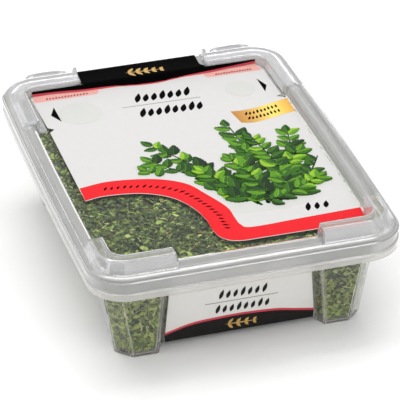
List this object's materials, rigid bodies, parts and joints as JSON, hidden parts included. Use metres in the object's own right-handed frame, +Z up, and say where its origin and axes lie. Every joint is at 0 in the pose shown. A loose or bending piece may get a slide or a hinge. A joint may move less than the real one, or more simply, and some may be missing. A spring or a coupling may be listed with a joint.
{
  "type": "tub of dried parsley",
  "caption": "Clear tapered plastic tub on corner feet, filled with dried parsley and closed by a translucent press-on lid with a film label that seals it.",
  "frame": {"origin": "on the surface it stands on, under the middle of its bounding box", "axes": "+Z up, -Y towards the front label, +Y towards the lift tabs and the seal, +X to the right seen from the front"},
  "size_m": [0.1012, 0.1404, 0.0412],
  "materials": {
    "clear_plastic": "gloss",
    "translucent_plastic": "gloss",
    "printed_film": "satin",
    "printed_paper": "satin",
    "dried_leaf": "matte"
  },
  "bodies": {
    "root": {"tub": "clear_plastic", "lid": "translucent_plastic", "top_label": "printed_film", "front_label": "printed_paper", "dried_parsley": "dried_leaf"}
  },
  "joints": []
}
